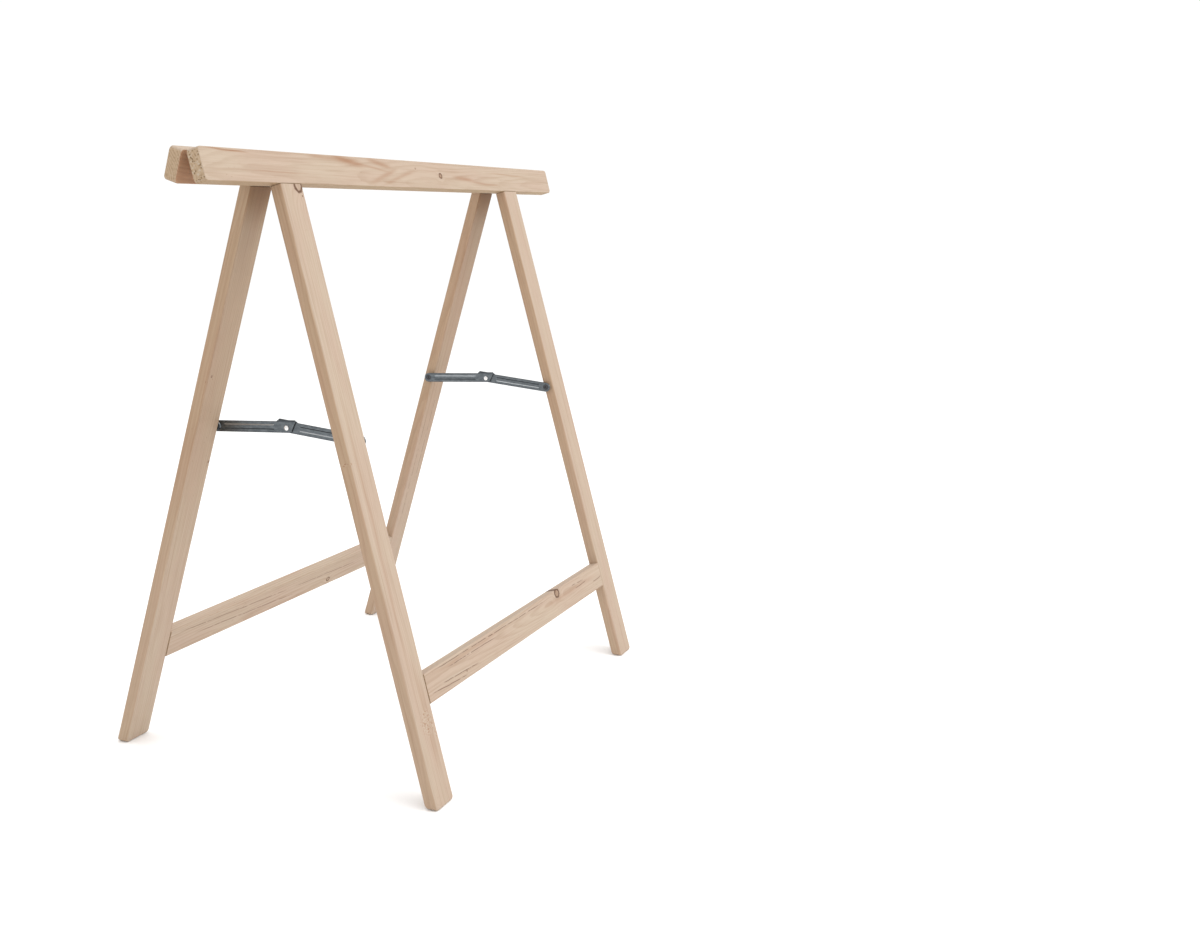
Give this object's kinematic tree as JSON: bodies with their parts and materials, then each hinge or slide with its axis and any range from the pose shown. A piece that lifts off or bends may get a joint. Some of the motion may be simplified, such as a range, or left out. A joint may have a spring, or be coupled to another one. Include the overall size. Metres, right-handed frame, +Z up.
{
  "type": "folding sawhorse",
  "caption": "Wooden trestle of two flat frames hinged along the ridge, each with a top rail, splayed legs and a low stretcher, held open by folding pressed-steel stays.",
  "frame": {"origin": "on the floor, under the middle of the ridge", "axes": "+X along the rails to the right end, -Y towards the front frame, +Z up; shown open, standing"},
  "size_m": [0.87, 0.4764, 0.7547],
  "materials": {
    "pine": "raw planed softwood, unvarnished",
    "dowel_wood": "raw turned hardwood",
    "hinge_steel": "bright zinc plate",
    "stay_steel": "dark zinc plate on pressed strip",
    "rivet_steel": "bright headed rivet",
    "screw_steel": "dark zinc plate"
  },
  "bodies": {
    "back_frame": {"back_top_rail": "pine", "back_stretcher": "pine", "back_left_leg": "pine", "back_left_rail_dowel_1": "dowel_wood", "back_left_stretcher_dowel_1": "dowel_wood", "back_left_rail_dowel_2": "dowel_wood", "back_left_stretcher_dowel_2": "dowel_wood", "left_hinge_back_leaf": "hinge_steel", "left_hinge_back_screw_1": "screw_steel", "left_hinge_back_screw_2": "screw_steel", "left_stay_back_pivot_screw": "screw_steel", "left_stay_back_spacer": "hinge_steel", "back_right_leg": "pine", "back_right_rail_dowel_1": "dowel_wood", "back_right_stretcher_dowel_1": "dowel_wood", "back_right_rail_dowel_2": "dowel_wood", "back_right_stretcher_dowel_2": "dowel_wood", "right_hinge_back_leaf": "hinge_steel", "right_hinge_back_screw_1": "screw_steel", "right_hinge_back_screw_2": "screw_steel", "right_stay_back_pivot_screw": "screw_steel", "right_stay_back_spacer": "hinge_steel", "left_hinge_pin": "hinge_steel", "right_hinge_pin": "hinge_steel"},
    "front_frame": {"front_top_rail": "pine", "front_stretcher": "pine", "front_left_leg": "pine", "front_left_rail_dowel_1": "dowel_wood", "front_left_stretcher_dowel_1": "dowel_wood", "front_left_rail_dowel_2": "dowel_wood", "front_left_stretcher_dowel_2": "dowel_wood", "left_hinge_front_leaf": "hinge_steel", "left_hinge_front_screw_1": "screw_steel", "left_hinge_front_screw_2": "screw_steel", "left_stay_front_pivot_screw": "screw_steel", "left_stay_front_spacer": "hinge_steel", "front_right_leg": "pine", "front_right_rail_dowel_1": "dowel_wood", "front_right_stretcher_dowel_1": "dowel_wood", "front_right_rail_dowel_2": "dowel_wood", "front_right_stretcher_dowel_2": "dowel_wood", "right_hinge_front_leaf": "hinge_steel", "right_hinge_front_screw_1": "screw_steel", "right_hinge_front_screw_2": "screw_steel", "right_stay_front_pivot_screw": "screw_steel", "right_stay_front_spacer": "hinge_steel"},
    "left_back_link": {"left_stay_back_link": "stay_steel", "left_stay_back_rivet_half": "rivet_steel"},
    "left_front_link": {"left_stay_front_link": "stay_steel", "left_stay_front_rivet_half": "rivet_steel"},
    "right_back_link": {"right_stay_back_link": "stay_steel", "right_stay_back_rivet_half": "rivet_steel"},
    "right_front_link": {"right_stay_front_link": "stay_steel", "right_stay_front_rivet_half": "rivet_steel"}
  },
  "joints": [
    {"name": "fold", "type": "hinge", "parent": "back_frame", "child": "front_frame", "pos_m": [0, 0, 0.74981], "axis": [1, 0, 0], "range_deg": [0, 32.6]},
    {"name": "left_back_link_pivot", "type": "hinge", "parent": "back_frame", "child": "left_back_link", "pos_m": [-0.26934, 0.10347, 0.4227], "axis": [-1, 0, 0], "range_deg": [0, 66.01]},
    {"name": "left_front_link_pivot", "type": "hinge", "parent": "front_frame", "child": "left_front_link", "pos_m": [-0.26934, -0.10347, 0.4227], "axis": [1, 0, 0], "range_deg": [0, 66.01]},
    {"name": "right_back_link_pivot", "type": "hinge", "parent": "back_frame", "child": "right_back_link", "pos_m": [0.26934, 0.10347, 0.4227], "axis": [-1, 0, 0], "range_deg": [0, 66.01]},
    {"name": "right_front_link_pivot", "type": "hinge", "parent": "front_frame", "child": "right_front_link", "pos_m": [0.26934, -0.10347, 0.4227], "axis": [1, 0, 0], "range_deg": [0, 66.01]}
  ],
  "couplings": [
    {"joint": "left_back_link_pivot", "follows": "fold", "ratio": 2.0232},
    {"joint": "left_front_link_pivot", "follows": "fold", "ratio": 2.0232},
    {"joint": "right_back_link_pivot", "follows": "fold", "ratio": 2.0232},
    {"joint": "right_front_link_pivot", "follows": "fold", "ratio": 2.0232}
  ]
}
